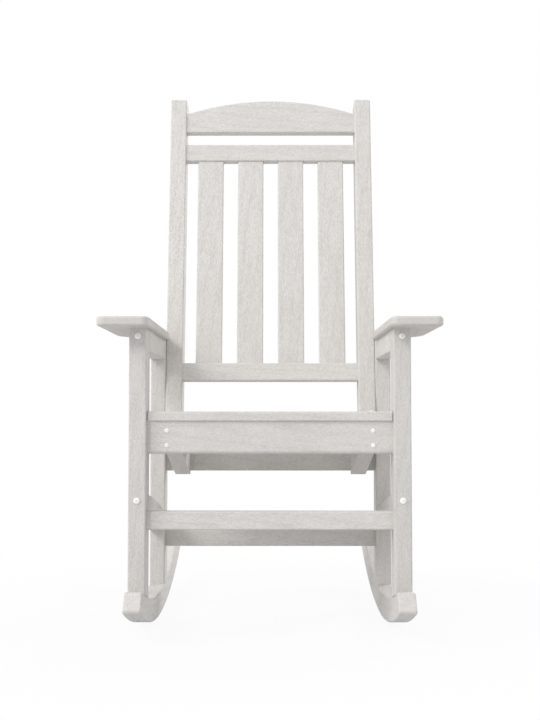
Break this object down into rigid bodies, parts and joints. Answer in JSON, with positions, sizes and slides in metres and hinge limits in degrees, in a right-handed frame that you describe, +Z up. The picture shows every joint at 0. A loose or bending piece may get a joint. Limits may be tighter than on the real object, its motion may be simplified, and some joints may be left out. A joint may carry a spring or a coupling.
{
  "type": "rocking chair",
  "caption": "Porch rocking chair of plastic lumber with flat arms, a slatted dipped seat, a reclined slatted back under an arched headrest, and curved rockers.",
  "frame": {"origin": "on the floor, in the middle of the overall box: under the seat, between the rockers", "axes": "+Z up, -Y the way the sitter faces, +X the right-hand side as the chair is seen from in front"},
  "size_m": [0.64, 0.8304, 1.1566],
  "materials": {
    "lumber": "matte",
    "fasteners": "satin"
  },
  "bodies": {
    "root": {"apron_screws": "fasteners", "arm_screws": "fasteners", "back_bolts": "fasteners", "back_rail_screws": "fasteners", "back_slat_1": "lumber", "back_slat_2": "lumber", "back_slat_3": "lumber", "back_slat_4": "lumber", "cross_bolts": "fasteners", "front_stretcher": "lumber", "headrest": "lumber", "left_arm": "lumber", "left_arm_rail": "lumber", "left_back_post": "lumber", "left_front_leg": "lumber", "left_rear_leg": "lumber", "left_rocker": "lumber", "left_seat_rail": "lumber", "left_side_brace": "lumber", "leg_bolts": "fasteners", "lower_back_rail": "lumber", "rear_rail_screws": "fasteners", "rear_seat_rail": "lumber", "rear_stretcher": "lumber", "right_arm": "lumber", "right_arm_rail": "lumber", "right_back_post": "lumber", "right_front_leg": "lumber", "right_rear_leg": "lumber", "right_rocker": "lumber", "right_seat_rail": "lumber", "right_side_brace": "lumber", "rocker_screws": "fasteners", "seat_apron": "lumber", "seat_slat_1": "lumber", "seat_slat_2": "lumber", "seat_slat_3": "lumber", "seat_slat_4": "lumber", "seat_slat_5": "lumber", "seat_slat_6": "lumber", "seat_slat_screws": "fasteners", "upper_back_rail": "lumber"}
  },
  "joints": []
}
